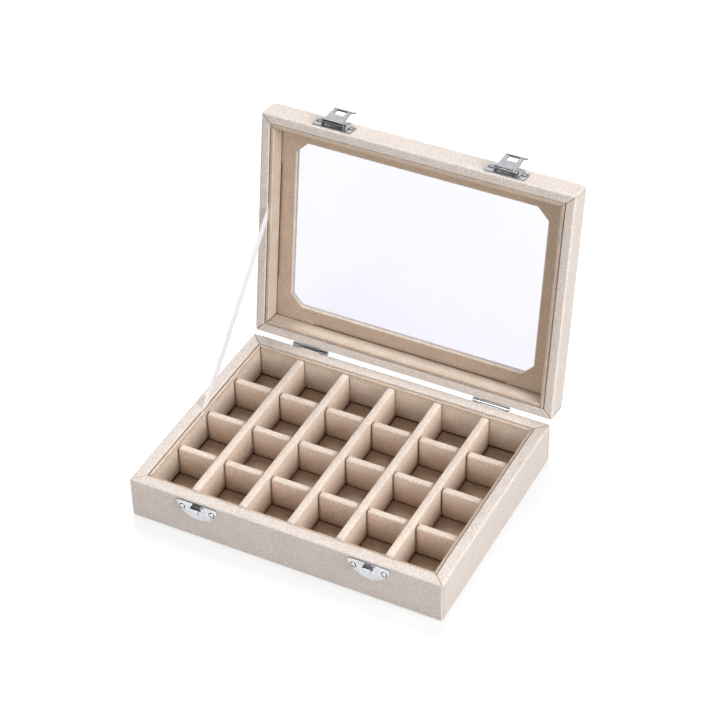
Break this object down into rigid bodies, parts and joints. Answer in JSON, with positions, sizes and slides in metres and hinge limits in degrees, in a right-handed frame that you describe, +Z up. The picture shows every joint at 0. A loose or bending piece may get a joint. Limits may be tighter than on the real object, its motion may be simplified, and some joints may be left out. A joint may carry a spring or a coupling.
{
  "type": "velvet jewelry box",
  "caption": "Velvet-covered jewelry box with a divided tray, a hinged lid with a glass window, toggle latches on the front and a ribbon that holds the lid open.",
  "frame": {"origin": "middle of the underside, on the surface that the box stands on", "axes": "+X to the right, +Y towards the hinges, +Z up"},
  "size_m": [0.2, 0.1984, 0.1822],
  "materials": {
    "outer_velvet": "short pile, beige",
    "lining_velvet": "short pile, beige",
    "divider_velvet": "short pile, pale beige",
    "underside": "flat felted sheet",
    "board": "raw fibreboard",
    "card": "raw grey board",
    "glass": "clear",
    "chrome": "bright plated sheet metal",
    "ribbon": "white satin ribbon"
  },
  "bodies": {
    "base": {"base_front_board": "board", "base_back_board": "board", "base_left_board": "board", "base_right_board": "board", "base_bottom_board": "board", "base_velvet": "outer_velvet", "underside_sheet": "underside", "tray_floor": "lining_velvet", "tray_liner_front": "lining_velvet", "tray_liner_back": "lining_velvet", "tray_liner_left": "lining_velvet", "tray_liner_right": "lining_velvet", "long_divider_1": "divider_velvet", "long_divider_2": "divider_velvet", "long_divider_3": "divider_velvet", "long_divider_4": "divider_velvet", "long_divider_5": "divider_velvet", "cross_divider_1": "divider_velvet", "cross_divider_2": "divider_velvet", "cross_divider_3": "divider_velvet", "hinge_left_base_leaf": "chrome", "hinge_right_base_leaf": "chrome", "hinge_left_pin": "chrome", "hinge_right_pin": "chrome", "hinge_base_screws": "chrome", "catch_left": "chrome", "catch_right": "chrome", "catch_screws": "chrome", "stay_ribbon": "ribbon"},
    "lid": {"lid_front_board": "board", "lid_back_board": "board", "lid_left_board": "board", "lid_right_board": "board", "lid_top_card": "card", "lid_velvet": "outer_velvet", "glass_pane": "glass", "glass_retainer": "lining_velvet", "lid_liner_front": "lining_velvet", "lid_liner_back": "lining_velvet", "lid_liner_left": "lining_velvet", "lid_liner_right": "lining_velvet", "hinge_left_lid_leaf": "chrome", "hinge_right_lid_leaf": "chrome", "hinge_lid_screws": "chrome", "latch_left_plate": "chrome", "latch_right_plate": "chrome", "latch_left_pin": "chrome", "latch_right_pin": "chrome", "latch_screws": "chrome"},
    "left_latch": {"latch_left_lever": "chrome"},
    "right_latch": {"latch_right_lever": "chrome"}
  },
  "joints": [
    {"name": "lid_hinge", "type": "hinge", "parent": "base", "child": "lid", "pos_m": [0, 0.0763, 0.02865], "axis": [1, 0, 0], "range_deg": [0, 98], "deforming": ["stay_ribbon"]},
    {"name": "left_latch_pivot", "type": "hinge", "parent": "lid", "child": "left_latch", "pos_m": [-0.055, 0.10283, 0.18044], "axis": [1, 0, 0], "range_deg": [0, 165]},
    {"name": "right_latch_pivot", "type": "hinge", "parent": "lid", "child": "right_latch", "pos_m": [0.055, 0.10283, 0.18044], "axis": [1, 0, 0], "range_deg": [0, 165]}
  ]
}
